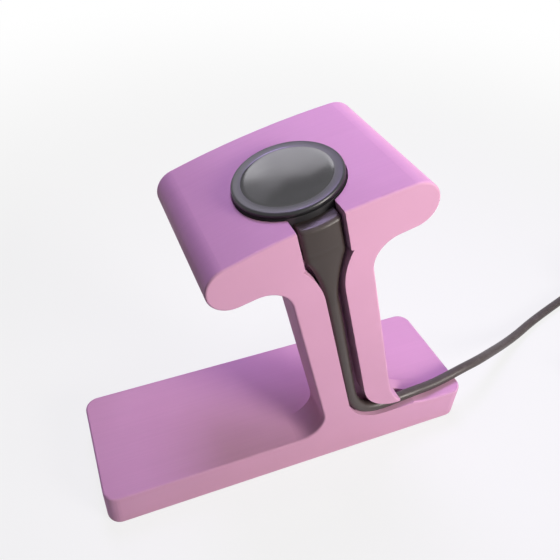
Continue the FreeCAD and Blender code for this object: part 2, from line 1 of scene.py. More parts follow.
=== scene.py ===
"""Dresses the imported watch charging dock: cable, tie, plug, neck, finishes and a plain stage."""

import math

import bmesh
import bpy
from mathutils import Matrix, Vector


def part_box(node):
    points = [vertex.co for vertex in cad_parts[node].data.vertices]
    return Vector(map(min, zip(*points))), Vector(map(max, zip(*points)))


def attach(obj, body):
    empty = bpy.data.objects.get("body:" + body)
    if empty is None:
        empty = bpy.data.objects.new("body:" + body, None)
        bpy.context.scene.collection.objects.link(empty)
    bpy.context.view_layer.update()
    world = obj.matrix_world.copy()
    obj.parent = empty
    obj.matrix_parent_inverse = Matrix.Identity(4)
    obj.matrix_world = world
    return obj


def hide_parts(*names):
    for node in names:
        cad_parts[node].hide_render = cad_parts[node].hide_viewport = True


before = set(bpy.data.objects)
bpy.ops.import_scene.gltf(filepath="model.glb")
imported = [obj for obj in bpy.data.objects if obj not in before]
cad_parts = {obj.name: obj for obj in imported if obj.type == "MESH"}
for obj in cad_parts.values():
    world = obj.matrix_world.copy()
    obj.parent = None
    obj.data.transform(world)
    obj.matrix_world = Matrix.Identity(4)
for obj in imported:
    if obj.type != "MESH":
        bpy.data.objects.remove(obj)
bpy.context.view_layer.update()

bl_info = {
    "name": "Watch charging dock",
    "version": (1, 0, 0),
    "blender": (4, 5, 0),
    "location": "3D View > Sidebar > Watch dock",
    "description": "Builds the visible pieces and finishes of a watch charging dock",
    "category": "Add Mesh",
}

MM = 0.001

# The stem leans about this point, where its front face leaves the base
STEM_FOOT = Vector((20.45, -21.25, 12)) * MM
STEM_LEAN = math.radians(15)
HEAD_TOP = 82.4 * MM
PUCK_DEPTH = 17.6 * MM
PUCK_RADIUS = 13.5 * MM

# The cable's route from the neck's tip to its put-away turns, and from the turns to the plug
CABLE_ROUTE = [
    (0.00571, -0.01875, 0.06489),
    (0.01446, -0.01905, 0.0299),
    (0.01655, -0.0192, 0.0224),
    (0.0203, -0.0192, 0.01705),
    (0.0263, -0.0191, 0.0147),
    (0.0382, -0.0184, 0.01495),
    (0.0465, -0.0173, 0.0136),
    (0.0530, -0.0163, 0.01355),
    (0.0605, -0.0149, 0.0136),
    (0.0685, -0.0128, 0.0120),
    (0.0770, -0.0094, 0.0089),
    (0.0870, -0.0053, 0.0051),
    (0.0970, -0.0013, 0.0025),
    (0.1070, 0.0027, 0.0016),
    (0.1180, 0.0061, 0.00155),
    (0.1315, 0.0099, 0.00165),
    (0.1445, 0.0142, 0.0020),
    (0.1563, 0.0184, 0.00212),
]
TAIL_ROUTE = [
    (0.1665, 0.0130, 0.0097),
    (0.1714, 0.0109, 0.0112),
    (0.1760, 0.0069, 0.0129),
    (0.1793, 0.0013, 0.0138),
    (0.1815, -0.0060, 0.0136),
    (0.1827, -0.0135, 0.0115),
    (0.1816, -0.0206, 0.0083),
    (0.1770, -0.0268, 0.0052),
    (0.1680, -0.0300, 0.00375),
    (0.1570, -0.0300, 0.00375),
]
COIL_CENTRE = Vector((0.163, 0.0, 0.0))
# How much thicker the moulded sleeve makes the cable at its first points
SLEEVE = (1.27, 1.22, 1.19, 1.15, 1.08, 1.0)
PLUG_AXIS = Vector((0.0, -0.030, 0.00375))


def linear(red, green, blue):
    """A colour written in display values of 0 to 255, as scene values."""
    shares = (value / 255 for value in (red, green, blue))
    return tuple(s / 12.92 if s <= 0.04045 else ((s + 0.055) / 1.055) ** 2.4 for s in shares)


def colour(name, description, *display):
    return bpy.props.FloatVectorProperty(
        name=name, description=description, subtype="COLOR", min=0, max=1, default=linear(*display)
    )


def length(name, description, value, top=0.05):
    return bpy.props.FloatProperty(
        name=name, description=description, default=value, min=0, max=top, subtype="DISTANCE",
        unit="LENGTH", precision=5,
    )


def share(name, description, value):
    return bpy.props.FloatProperty(
        name=name, description=description, default=value, min=0, max=1, subtype="FACTOR"
    )


def watts(name, description, value):
    return bpy.props.FloatProperty(
        name=name, description=description, default=value, min=0, unit="POWER"
    )


class StandLook(bpy.types.PropertyGroup):
    plastic: colour("Plastic", "Colour of the printed plastic", 216, 163, 193)
    layer_height: length("Layer height", "Distance between two printed layers", 0.00025)
    layer_depth: length("Layer depth", "How far the layers stand out", 0.00002)
    roughness: share("Roughness", "Roughness of the printed plastic", 0.66)


class PuckLook(bpy.types.PropertyGroup):
    cover: colour("Cover", "Colour of the dished cover", 22, 22, 24)
    housing: colour("Housing", "Colour of the puck's housing", 38, 37, 39)
    rim: length("Rim", "Width of the cover's flat rim", 0.0025)
    gloss: share("Dish roughness", "Roughness of the dished face", 0.08)
    rim_gloss: share("Rim roughness", "Roughness of the rim", 0.36)


class NeckLook(bpy.types.PropertyGroup):
    rubber: colour("Rubber", "Colour of the moulded neck", 53, 43, 39)
    width: length("Width", "Width of the neck at the puck", 0.0101)
    thickness: length("Thickness", "Thickness of the neck from front to back", 0.0042)
    tip: length("Tip width", "Width where the cable leaves", 0.0038)
    crown: length("Crown", "How far the neck's face curves back to its sides", 0.00075)
    step: length("Step", "Height of the line across the neck below its collar", 0.0002)


class CordLook(bpy.types.PropertyGroup):
    jacket: colour("Jacket", "Colour of the cable's jacket", 59, 49, 46)
    diameter: length("Diameter", "Diameter of the cable", 0.003)
    whole: length("Length", "Length of the cable from the neck to the plug", 1.0, 3)
    turns: bpy.props.FloatProperty(
        name="Turns per column",
        description="Turns of the put-away coil in each of its three columns",
        default=2.362, min=1, max=6,
    )
    outer: length("Outer turn", "Radius of the coil's outer column of turns", 0.0196)
    gap: length("Turn distance", "Distance between the centres of neighbouring turns", 0.00305)


class TieLook(bpy.types.PropertyGroup):
    fabric: colour("Fabric", "Colour of the woven tie", 48, 46, 49)
    width: length("Width", "Width of the tie", 0.006)
    thickness: length("Thickness", "Thickness of the woven band", 0.0005)
    thread: length("Thread", "Distance between two threads", 0.0005)


class PlugLook(bpy.types.PropertyGroup):
    plastic: colour("Plastic", "Colour of the plug's grip", 44, 42, 44)
    steel: colour("Steel", "Colour of the plug's shell", 196, 198, 202)
    gold: colour("Contacts", "Colour of the contacts", 226, 186, 104)
    insulator: colour("Insulator", "Colour of the plug's tongue", 226, 226, 222)
    ribs: bpy.props.IntProperty(
        name="Ribs", description="Ribs on the plug's strain relief", default=6, min=2, max=12
    )
    rib_depth: length("Rib depth", "Depth of the grooves between the ribs", 0.0004)


class InsideLook(bpy.types.PropertyGroup):
    copper: colour("Copper", "Colour of the charging coil", 196, 112, 66)
    board: colour("Board", "Colour of the circuit board", 22, 84, 52)
    ferrite: colour("Ferrite", "Colour of the shield", 58, 58, 62)
    magnet: colour("Magnet", "Colour of the plated magnet", 190, 192, 196)
    wire: length("Wire", "Distance between two windings of the coil", 0.0004)


class StageLook(bpy.types.PropertyGroup):
    floor: colour("Floor", "Colour of the floor", 214, 213, 215)
    backdrop: colour("Backdrop", "Colour of what is behind the floor", 255, 255, 255)
    key: watts("Key light", "Power of the soft light from the right", 0.295)
    fill: watts("Top light", "Power of the soft light from above", 0.2)
    back: watts("Back light", "Power of the small light that the gloss shows", 0.35)
    ambient: bpy.props.FloatProperty(
        name="Ambient", description="Strength of the light from all round", default=0.07,
        min=0, max=2,
    )
    lens: bpy.props.FloatProperty(
        name="Lens", description="Focal length", default=39.25, min=10, max=200,
        subtype="DISTANCE_CAMERA",
    )


# Shared ways of making meshes


def in_stem(across, along, depth):
    """A point of the leaning stem: across it, along it from the base's top, back from its front."""
    x = across * math.cos(STEM_LEAN) - along * math.sin(STEM_LEAN)
    z = across * math.sin(STEM_LEAN) + along * math.cos(STEM_LEAN)
    return STEM_FOOT + Vector((x, depth, z))


def rounded_box(half_wide, low, high, corner, steps=6, along=6):
    """Points round a rounded rectangle, anticlockwise, with more of them on its long sides."""
    # corners never quite fill a side, so that no two points fall together
    full = 0.999
    corner = min(corner, half_wide * full, (high - low) / 2 * full)
    right = half_wide - corner
    points = []
    for x, y, start in ((right, low + corner, -90), (right, high - corner, 0),
                        (-right, high - corner, 90), (-right, low + corner, 180)):
        for step in range(steps + 1):
            angle = math.radians(start + 90 * step / steps)
            points.append((x + corner * math.cos(angle), y + corner * math.sin(angle)))
        if start in (0, 180):
            side = high if start == 0 else low
            points += [(x - 2 * x * k / along, side) for k in range(1, along)]
    return points


def ease(way):
    """A share of 0 to 1 that starts and ends softly."""
    return way * way * (3 - 2 * way)


def clamp(value):
    """A value kept within 0 and 1."""
    return min(max(value, 0), 1)


def quads(rows):
    """The four corners of each face between rows of equally many points."""
    for one, other in zip(rows, rows[1:]):
        for index in range(len(one)):
            onward = (index + 1) % len(one)
            yield one[index], one[onward], other[onward], other[index]


def loft(name, rings, material, sharp=42, closed=False):
    """A mesh through rings of equally many points, closed into a loop or with a cap at each end."""
    made = bmesh.new()
    rows = [[made.verts.new(point) for point in ring] for ring in rings]
    for corners in quads([*rows, rows[0]] if closed else rows):
        made.faces.new(corners)
    if not closed:
        made.faces.new(rows[0])
        made.faces.new(rows[-1])
    return finish_mesh(name, made, material, sharp)


def finish_mesh(name, made, material, sharp):
    """A piece that rides on the dock, smooth but at edges sharper than an angle in degrees."""
    bmesh.ops.recalc_face_normals(made, faces=made.faces)
    mesh = bpy.data.meshes.new(name)
    made.to_mesh(mesh)
    made.free()
    mesh.shade_smooth()
    mesh.set_sharp_from_angle(angle=math.radians(sharp))
    mesh.materials.append(material)
    item = bpy.data.objects.new(name, mesh)
    bpy.context.scene.collection.objects.link(item)
    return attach(item, "root")


def dress(names, material):
    """Gives CAD nodes their finish."""
    for name in names:
        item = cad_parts[name]
        item.data.materials.clear()
        item.data.materials.append(material)


# Shared shader groups

NUMBER, COLOUR = "NodeSocketFloat", "NodeSocketColor"
DUST = linear(196, 188, 188)
# How far a band texture of scale 1 turns in a metre, in radians
BAND_TURN = 20
# A mix node's sockets by index, because its kinds of value share their names
MIX_FACTOR, MIX_NUMBERS, MIX_COLOURS = 0, (2, 3), (6, 7)
MIXED_NUMBER, MIXED_COLOUR = 0, 2


def shader_group(name, inputs, outputs):
    """A shader node group with these inputs and outputs, and its two end nodes."""
    tree = bpy.data.node_groups.new(name, "ShaderNodeTree")
    for socket, kind, value in inputs:
        made = tree.interface.new_socket(name=socket, in_out="INPUT", socket_type=kind)
        made.default_value = value
    for socket, kind in outputs:
        tree.interface.new_socket(name=socket, in_out="OUTPUT", socket_type=kind)
    return tree, tree.nodes.new("NodeGroupInput"), tree.nodes.new("NodeGroupOutput")


def own_space(tree):
    """A shaded point's place in the object's own space."""
    return tree.nodes.new("ShaderNodeTexCoord").outputs["Object"]


def noise(tree, scale, detail=3.0, stretch=None):
    """A noise texture over the object's own space. scale is a number or a socket."""
    place = own_space(tree)
    if stretch:
        mapping = tree.nodes.new("ShaderNodeMapping")
        mapping.inputs["Scale"].default_value = stretch
        tree.links.new(place, mapping.inputs["Vector"])
        place = mapping.outputs["Vector"]
    made = tree.nodes.new("ShaderNodeTexNoise")
    made.inputs["Detail"].default_value = detail
    tree.links.new(place, made.inputs["Vector"])
    feed(tree, scale, made.inputs["Scale"])
    return made.outputs["Fac"]


def feed(tree, source, socket):
    """Links a socket to another, or sets its value."""
    if isinstance(source, bpy.types.NodeSocket):
        tree.links.new(source, socket)
    else:
        socket.default_value = source


def spread(tree, value, low, high, start=0.3, end=0.7):
    """A value that goes from low to high as the source goes from start to end."""
    made = tree.nodes.new("ShaderNodeMapRange")
    made.interpolation_type = "SMOOTHSTEP"
    sources = (("Value", value), ("From Min", start), ("From Max", end),
               ("To Min", low), ("To Max", high))
    for socket, source in sources:
        feed(tree, source, made.inputs[socket])
    return made.outputs["Result"]


def calculate(tree, operation, *sources):
    made = tree.nodes.new("ShaderNodeMath")
    made.operation = operation
    for index, source in enumerate(sources):
        feed(tree, source, made.inputs[index])
    return made.outputs[0]


def brighten(tree, value, source):
    """A colour made lighter or darker by a value about 1."""
    made = tree.nodes.new("ShaderNodeHueSaturation")
    tree.links.new(value, made.inputs["Value"])
    tree.links.new(source, made.inputs["Color"])
    return made.outputs["Color"]


def grain_group():
    """Fine moulded grain, with patches that are a little rougher than the rest."""
    inputs = (("Grain Scale", NUMBER, 2500.0), ("Patch Scale", NUMBER, 120.0),
              ("Low Roughness", NUMBER, 0.4), ("High Roughness", NUMBER, 0.5))
    outputs = (("Height", NUMBER), ("Roughness", NUMBER))
    tree, entry, leave = shader_group("moulded_grain", inputs, outputs)
    tree.links.new(noise(tree, entry.outputs["Grain Scale"]), leave.inputs["Height"])
    patches = noise(tree, entry.outputs["Patch Scale"], 4.0)
    rough = spread(tree, patches, entry.outputs["Low Roughness"], entry.outputs["High Roughness"])
    tree.links.new(rough, leave.inputs["Roughness"])
    return tree


def tint_group():
    """A colour that is a little lighter and darker in soft patches."""
    inputs = (("Color", COLOUR, (0.5, 0.5, 0.5, 1)), ("Scale", NUMBER, 60.0),
              ("Depth", NUMBER, 0.05))
    tree, entry, leave = shader_group("uneven_tint", inputs, (("Color", COLOUR),))
    low = calculate(tree, "SUBTRACT", 1.0, entry.outputs["Depth"])
    high = calculate(tree, "ADD", 1.0, entry.outputs["Depth"])
    value = spread(tree, noise(tree, entry.outputs["Scale"], 4.0), low, high, 0.25, 0.75)
    tree.links.new(brighten(tree, value, entry.outputs["Color"]), leave.inputs["Color"])
    return tree


def dust_group():
    """A mask of the light dust that settles on what faces up."""
    inputs = (("Scale", NUMBER, 400.0), ("Amount", NUMBER, 0.1))
    tree, entry, leave = shader_group("settled_dust", inputs, (("Mask", NUMBER),))
    normal = tree.nodes.new("ShaderNodeNewGeometry").outputs["Normal"]
    split = tree.nodes.new("ShaderNodeSeparateXYZ")
    tree.links.new(normal, split.inputs[0])
    up = spread(tree, split.outputs["Z"], 0.0, 1.0, 0.1, 0.95)
    specks = spread(tree, noise(tree, entry.outputs["Scale"], 5.0), 0.25, 1.0, 0.45, 0.75)
    mask = calculate(tree, "MULTIPLY", up, specks)
    mask = calculate(tree, "MULTIPLY", mask, entry.outputs["Amount"])
    tree.links.new(mask, leave.inputs["Mask"])
    return tree


GROUPS = {}


def place_group(material, name, **values):
    """Puts a shared group in a material, with its own values."""
    makers = {"moulded_grain": grain_group, "uneven_tint": tint_group, "settled_dust": dust_group}
    if name not in GROUPS:
        GROUPS[name] = makers[name]()
    made = material.node_tree.nodes.new("ShaderNodeGroup")
    made.node_tree = GROUPS[name]
    for socket, value in values.items():
        feed(material.node_tree, value, made.inputs[socket.replace("_", " ")])
    return made


def finish(name, tone, low, high, grain=2500.0, patch=120.0, depth=0.04, bump=0.1, height=0.00002,
           dust=0.0, **sockets):
    """A material with uneven tint, grain and dust, whose roughness goes from low to high."""
    material = bpy.data.materials.new(name)
    material.use_nodes = True
    tree = material.node_tree
    shader = tree.nodes["Principled BSDF"]
    for socket, value in sockets.items():
        shader.inputs[socket.replace("_", " ")].default_value = value
    # the tint's patches are larger than those of the roughness
    tint = place_group(material, "uneven_tint", Color=(*tone, 1), Scale=patch * 0.6, Depth=depth)
    tinted = tint.outputs["Color"]
    if dust:
        mask = place_group(material, "settled_dust", Amount=dust).outputs["Mask"]
        tinted = blend(tree, mask, tinted, (*DUST, 1))
    tree.links.new(tinted, shader.inputs["Base Color"])
    grained = place_group(
        material, "moulded_grain", Grain_Scale=grain, Patch_Scale=patch, Low_Roughness=low,
        High_Roughness=high,
    )
    tree.links.new(grained.outputs["Roughness"], shader.inputs["Roughness"])
    relief = tree.nodes.new("ShaderNodeBump")
    relief.name = "relief"
    relief.inputs["Strength"].default_value = bump
    relief.inputs["Distance"].default_value = height
    tree.links.new(grained.outputs["Height"], relief.inputs["Height"])
    tree.links.new(relief.outputs["Normal"], shader.inputs["Normal"])
    return material


def blend(tree, mask, one, other):
    """A colour that goes from one to the other by a mask."""
    made = tree.nodes.new("ShaderNodeMix")
    made.data_type = "RGBA"
    feed(tree, mask, made.inputs[MIX_FACTOR])
    feed(tree, one, made.inputs[MIX_COLOURS[0]])
    feed(tree, other, made.inputs[MIX_COLOURS[1]])
    return made.outputs[MIXED_COLOUR]


def waves(tree, direction, pitch):
    """Regular bands at a distance of pitch along one direction of the object's own space."""
    place = own_space(tree)
    made = tree.nodes.new("ShaderNodeTexWave")
    made.wave_type = "BANDS"
    made.bands_direction = direction
    made.inputs["Scale"].default_value = math.tau / (BAND_TURN * pitch)
    tree.links.new(place, made.inputs["Vector"])
    return made.outputs["Fac"]


def add_relief(material, height, strength, distance):
    """Adds a coarser relief to a finish, under its grain."""
    tree = material.node_tree
    fine = tree.nodes["relief"]
    made = tree.nodes.new("ShaderNodeBump")
    made.inputs["Strength"].default_value = strength
    made.inputs["Distance"].default_value = distance
    tree.links.new(height, made.inputs["Height"])
    tree.links.new(made.outputs["Normal"], fine.inputs["Normal"])


def printed_plastic(look):
    """Satin plastic in fine layers that are stacked from the dock's front to its back."""
    material = finish(
        "printed_plastic", look.plastic, look.roughness - 0.06, look.roughness + 0.06, grain=1800.0,
        patch=70.0, depth=0.02, bump=0.25, height=0.00004, dust=0.03, Specular_IOR_Level=0.34,
    )
    tree = material.node_tree
    layers = waves(tree, "Y", look.layer_height)
    add_relief(material, layers, strength=0.5, distance=look.layer_depth)
    streaks = noise(tree, 1.0, 2.0, stretch=(25, 2600, 25))
    base = tree.nodes["Principled BSDF"].inputs["Base Color"]
    plain = base.links[0].from_socket
    tree.links.new(brighten(tree, spread(tree, streaks, 0.985, 1.012), plain), base)
    return material


def puck_distance(tree):
    """Distance from the puck's axis."""
    place = own_space(tree)
    turned = tree.nodes.new("ShaderNodeMapping")
    turned.vector_type = "TEXTURE"
    turned.inputs["Location"].default_value = in_stem(0, HEAD_TOP, PUCK_DEPTH)
    turned.inputs["Rotation"].default_value = (0, -STEM_LEAN, 0)
    flat = tree.nodes.new("ShaderNodeVectorMath")
    flat.operation = "MULTIPLY"
    flat.inputs[1].default_value = (1, 1, 0)
    reach = tree.nodes.new("ShaderNodeVectorMath")
    reach.operation = "LENGTH"
    tree.links.new(place, turned.inputs["Vector"])
    tree.links.new(turned.outputs["Vector"], flat.inputs[0])
    tree.links.new(flat.outputs["Vector"], reach.inputs[0])
    return reach.outputs["Value"]


def cover_plastic(look):
    """Glossy plastic with a satin rim."""
    material = finish(
        "cover_plastic", look.cover, look.gloss, look.gloss + 0.08, grain=3500.0, patch=90.0,
        depth=0.03, bump=0.05, dust=0.012,
    )
    tree = material.node_tree
    shader = tree.nodes["Principled BSDF"]
    dished = shader.inputs["Roughness"].links[0].from_socket
    edge, soft = PUCK_RADIUS - look.rim, 0.1 * MM
    on_rim = spread(tree, puck_distance(tree), 0.0, 1.0, edge - soft, edge + soft)
    rough = tree.nodes.new("ShaderNodeMix")
    feed(tree, on_rim, rough.inputs[MIX_FACTOR])
    feed(tree, dished, rough.inputs[MIX_NUMBERS[0]])
    feed(tree, look.rim_gloss, rough.inputs[MIX_NUMBERS[1]])
    tree.links.new(rough.outputs[MIXED_NUMBER], shader.inputs["Roughness"])
    return material


def woven_fabric(look):
    """A tight plain weave of thick threads, with painted shade darkening the gaps between them."""
    material = finish(
        "woven_fabric", look.fabric, 0.75, 0.9, grain=6000.0, patch=300.0, depth=0.12, bump=0.4,
        Sheen_Weight=0.35, Sheen_Roughness=0.4,
    )
    tree = material.node_tree
    warp = waves(tree, "Y", look.thread)
    weft = waves(tree, "DIAGONAL", look.thread)
    threads = calculate(tree, "MULTIPLY", warp, weft)
    add_relief(material, threads, strength=0.9, distance=0.00015)
    base = tree.nodes["Principled BSDF"].inputs["Base Color"]
    # painted shade: where the threads dip between crossings, the colour goes towards near-black
    painted_gap_shade = spread(tree, threads, 1.0, 0.0, 0.0, 0.35)
    shaded = blend(tree, painted_gap_shade, base.links[0].from_socket, (*linear(18, 17, 19), 1))
    tree.links.new(shaded, base)
    return material


def wound_copper(look):
    """Enamelled wire in close rings round the puck's axis."""
    material = finish("wound_copper", look.copper, 0.28, 0.4, depth=0.1, Metallic=1.0)
    tree = material.node_tree
    turns = calculate(tree, "MULTIPLY", puck_distance(tree), math.tau / look.wire)
    add_relief(material, calculate(tree, "SINE", turns), strength=0.8, distance=0.0001)
    return material


# Operators, one for each group of pieces


class BuildStage(bpy.types.Operator):
    """Set the camera, a plain floor and backdrop, and soft studio lights"""

    bl_idname = "watchdock.stage"
    bl_label = "Stage"

    def execute(self, context):
        look = context.scene.watchdock_stage
        add_camera(look)
        # the floor reaches this far to each side, and lies this far below the dock
        reach, gap = 12.0, 0.0002
        floor = bmesh.new()
        bmesh.ops.create_grid(floor, x_segments=16, y_segments=16, size=reach)
        mesh = bpy.data.meshes.new("floor")
        floor.to_mesh(mesh)
        floor.free()
        mesh.materials.append(floor_finish(look))
        item = bpy.data.objects.new("floor", mesh)
        item.location.z = -gap
        context.scene.collection.objects.link(item)
        add_lamp(
            "key_light", place=(0.25, -0.3, 0.23), aim=(0.07, -0.02, 0.12), across=0.25,
            spread_angle=52, power=look.key, tone=linear(255, 250, 243),
        )
        add_lamp(
            "top_light", place=(0.04, 0.16, 0.45), aim=(0.08, 0.01, 0.1), across=0.22,
            spread_angle=56, power=look.fill, tone=linear(214, 190, 255),
        )
        add_lamp(
            "back_light", place=(-0.05, 0.44, 0.5), aim=(0.01, 0, 0.05), across=0.16,
            spread_angle=180, power=look.back, tone=linear(250, 248, 255),
        )
        light_world(context.scene, look)
        context.scene.view_settings.view_transform = "Standard"
        return {"FINISHED"}


def add_camera(look):
    """The photograph's viewpoint, with the picture's middle moved as the crop moved it."""
    place = Vector((-52.60, -112.84, 167.72)) * MM
    yaw, pitch, roll = 0.3514, 0.6778, -0.0065
    flat = math.cos(pitch)
    forward = Vector((math.sin(yaw) * flat, math.cos(yaw) * flat, -math.sin(pitch)))
    level = Vector((math.cos(yaw), -math.sin(yaw), 0))
    down = forward.cross(level)
    right = level * math.cos(roll) + down * math.sin(roll)
    down = down * math.cos(roll) - level * math.sin(roll)
    data = bpy.data.cameras.new("camera")
    data.lens = look.lens
    data.sensor_width = 36
    data.shift_x = 0.0714
    data.shift_y = -0.0536
    data.clip_start = 0.005
    data.clip_end = 20
    camera = bpy.data.objects.new("camera", data)
    bpy.context.scene.collection.objects.link(camera)
    turn = Matrix((right, -down, -forward)).transposed().to_4x4()
    camera.matrix_world = Matrix.Translation(place) @ turn
    bpy.context.scene.camera = camera


def add_lamp(name, place, aim, across, spread_angle, power, tone):
    """A soft round lamp that shines from its place towards a point."""
    data = bpy.data.lights.new(name, "AREA")
    data.shape = "DISK"
    data.size = across
    data.spread = math.radians(spread_angle)
    data.energy = power
    data.color = tone
    lamp = bpy.data.objects.new(name, data)
    lamp.location = place
    lamp.rotation_euler = (Vector(aim) - Vector(place)).to_track_quat("-Z", "Y").to_euler()
    bpy.context.scene.collection.objects.link(lamp)


def floor_finish(look):
    """A pale floor that keeps shadows. Camera, gloss and glass see it paler than it is lit."""
    material = finish(
        "studio_floor", look.floor, 0.75, 0.85, grain=300.0, patch=6.0, depth=0.006, bump=0.02,
        Specular_IOR_Level=0.2,
    )
    tree = material.node_tree
    glow = tree.nodes.new("ShaderNodeEmission")
    glow.inputs["Color"].default_value = (*look.backdrop, 1)
    mix = tree.nodes.new("ShaderNodeMixShader")
    reach = tree.nodes.new("ShaderNodeVectorMath")
    reach.operation = "LENGTH"
    tree.links.new(own_space(tree), reach.inputs[0])
    paler = spread(tree, reach.outputs["Value"], low=0.82, high=1.0, start=0.08, end=0.45)
    tree.links.new(calculate(tree, "MULTIPLY", seen_rays(tree), paler), mix.inputs[0])
    tree.links.new(tree.nodes["Principled BSDF"].outputs[0], mix.inputs[1])
    tree.links.new(glow.outputs[0], mix.inputs[2])
    tree.links.new(mix.outputs[0], tree.nodes["Material Output"].inputs["Surface"])
    return material


def seen_rays(tree):
    """1 for the rays of the camera, of gloss and through glass."""
    rays = tree.nodes.new("ShaderNodeLightPath").outputs
    straight = calculate(tree, "MAXIMUM", rays["Is Camera Ray"], rays["Is Transmission Ray"])
    return calculate(tree, "MAXIMUM", straight, rays["Is Glossy Ray"])


def light_world(scene, look):
    """Soft light from all round, where camera, gloss and glass see the backdrop's colour."""
    world = bpy.data.worlds.new("studio")
    world.use_nodes = True
    tree = world.node_tree
    soft = tree.nodes["Background"]
    soft.inputs["Color"].default_value = (*linear(240, 238, 255), 1)
    soft.inputs["Strength"].default_value = look.ambient
    backdrop = tree.nodes.new("ShaderNodeBackground")
    backdrop.inputs["Color"].default_value = (*look.backdrop, 1)
    mix = tree.nodes.new("ShaderNodeMixShader")
    tree.links.new(seen_rays(tree), mix.inputs[0])
    tree.links.new(soft.outputs[0], mix.inputs[1])
    tree.links.new(backdrop.outputs[0], mix.inputs[2])
    tree.links.new(mix.outputs[0], tree.nodes["World Output"].inputs["Surface"])
    scene.world = world


class BuildCord(bpy.types.Operator):
    """Lay the cable down the slot, over the base and into its put-away coil"""

    bl_idname = "watchdock.cord"
    bl_label = "Cable"

    def execute(self, context):
        look = context.scene.watchdock_cord
        points = CABLE_ROUTE + coil_points(look) + TAIL_ROUTE
        data = bpy.data.curves.new("cable_cord", "CURVE")
        data.dimensions = "3D"
        data.bevel_depth = look.diameter / 2
        data.bevel_resolution = 5
        data.resolution_u = 8
        data.use_fill_caps = True
        line = data.splines.new("NURBS")
        line.points.add(len(points) - 1)
        for point, place in zip(line.points, points):
            point.co = (*place, 1)
        for point, thicker in zip(line.points, SLEEVE):
            point.radius = thicker
        line.order_u = 3
        line.use_endpoint_u = True
        data.materials.append(finish(
            "cable_jacket", look.jacket, 0.36, 0.46, grain=2200.0, patch=90.0, depth=0.05,
            bump=0.12, dust=0.06,
        ))
        cord = bpy.data.objects.new("cable_cord", data)
        context.scene.collection.objects.link(cord)
        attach(cord, "root")
        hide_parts("cable", "cable_coil", "cable_tail")
        return {"FINISHED"}


def coil_points(look):
    """Points of the put-away turns: three columns of turns side by side, wound up, down and up."""
    columns, per_turn = 3, 16
    # a line of this order runs inside its points by this share
    inside = 0.75 + 0.25 * math.cos(math.tau / per_turn)
    # the lowest turns' height, and the angle at which the cable comes in
    low, start = 2.12 * MM, math.radians(110)
    # neighbouring columns are a little further apart than neighbouring turns
    apart = 1.016
    # the cable changes its column over this part of a turn, before and after the column's end
    crossing = 0.12
    total = columns * look.turns
    points = []
    for index in range(1, math.ceil(total * per_turn)):
        turned = index / per_turn
        column = min(int(turned / look.turns), columns - 1)
        up = turned / look.turns - column
        rise = (1 - up if column == 1 else up) * look.turns * look.gap
        change = (turned + look.turns / 2) % look.turns - look.turns / 2
        nearest = round(turned / look.turns)
        shift = column
        if abs(change) < crossing and 0 < nearest < columns:
            shift = nearest - 1 + ease((change + crossing) / (2 * crossing))
        radius = (look.outer - shift * look.gap * apart) / inside
        angle = start - turned * math.tau
        offset = Vector((radius * math.cos(angle), radius * math.sin(angle), low + rise))
        points.append(tuple(COIL_CENTRE + offset))
    return points


class BuildTie(bpy.types.Operator):
    """Make the woven tie round the coil"""

    bl_idname = "watchdock.tie"
    bl_label = "Tie"

    def execute(self, context):
        look = context.scene.watchdock_tie
        (x0, _, z0), (x1, _, z1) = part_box("cable_tie")
        fabric = woven_fabric(look)
        rings = band_rings(look, x0, x1, z0, z1)
        tie = loft("tie_band", rings, fabric, closed=True)
        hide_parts("cable_tie")
        return {"FINISHED"}


def band_rings(look, x0, x1, z0, z1):
    """Sections of a flat band that goes once round the turns' section."""
    thick, corner, edge = look.thickness, 2.0 * MM, 0.25 * MM
    half_wide, half = (x1 - x0) / 2, look.width / 2
    outer = rounded_box(half_wide, z0, z1, corner, along=10)
    inner = rounded_box(half_wide - thick, z0 + thick, z1 - thick, corner - thick, along=10)
    # across the band, and from its outer face at 0 to its inner face at 1
    section = (
        (-half, 0.3), (edge - half, 0), (half - edge, 0), (half, 0.3),
        (half, 0.7), (half - edge, 1), (edge - half, 1), (-half, 0.7),
    )
    rings = []
    for (x, z), (inner_x, inner_z) in zip(outer, inner):
        out, into = Vector(((x0 + x1) / 2 + x, 0, z)), Vector((inner_x - x, 0, inner_z - z))
        rings.append([out + into * depth + Vector((0, y, 0)) for y, depth in section])
    return rings


class BuildPlug(bpy.types.Operator):
    """Make the plug: ribbed strain relief, grip, steel shell, tongue and contacts"""

    bl_idname = "watchdock.plug"
    bl_label = "Plug"

    def execute(self, context):
        look = context.scene.watchdock_plug
        plastic = finish(
            "grip_plastic", look.plastic, 0.42, 0.55, grain=3200.0, patch=140.0, depth=0.06,
            bump=0.35, height=0.00003, dust=0.06,
        )
        relief = loft("strain_relief", relief_rings(look), plastic)
        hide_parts("plug_relief")
        grip = loft("plug_body", grip_rings(), plastic)
        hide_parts("plug_grip")
        steel = finish("pressed_steel", look.steel, 0.22, 0.34, depth=0.04, Metallic=1.0)
        brushed = noise(steel.node_tree, 1.0, 3.0, stretch=(60, 9000, 9000))
        add_relief(steel, brushed, strength=0.25, distance=0.00002)
        shell = make_shell(steel)
        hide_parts("plug_shell")
        dress(["plug_tongue"], finish("tongue_plastic", look.insulator, 0.4, 0.5))
        contacts = [f"plug_contact_{number}" for number in range(1, 5)]
        dress(contacts, finish("contact_gold", look.gold, 0.18, 0.3, depth=0.05, Metallic=1.0))
        return {"FINISHED"}


def plug_ring(x, half_wide, half_high, corner):
    """One section across the plug's axis."""
    points = rounded_box(half_wide, -half_high, half_high, corner)
    return [Vector((x, PLUG_AXIS.y + across, PLUG_AXIS.z + up)) for across, up in points]


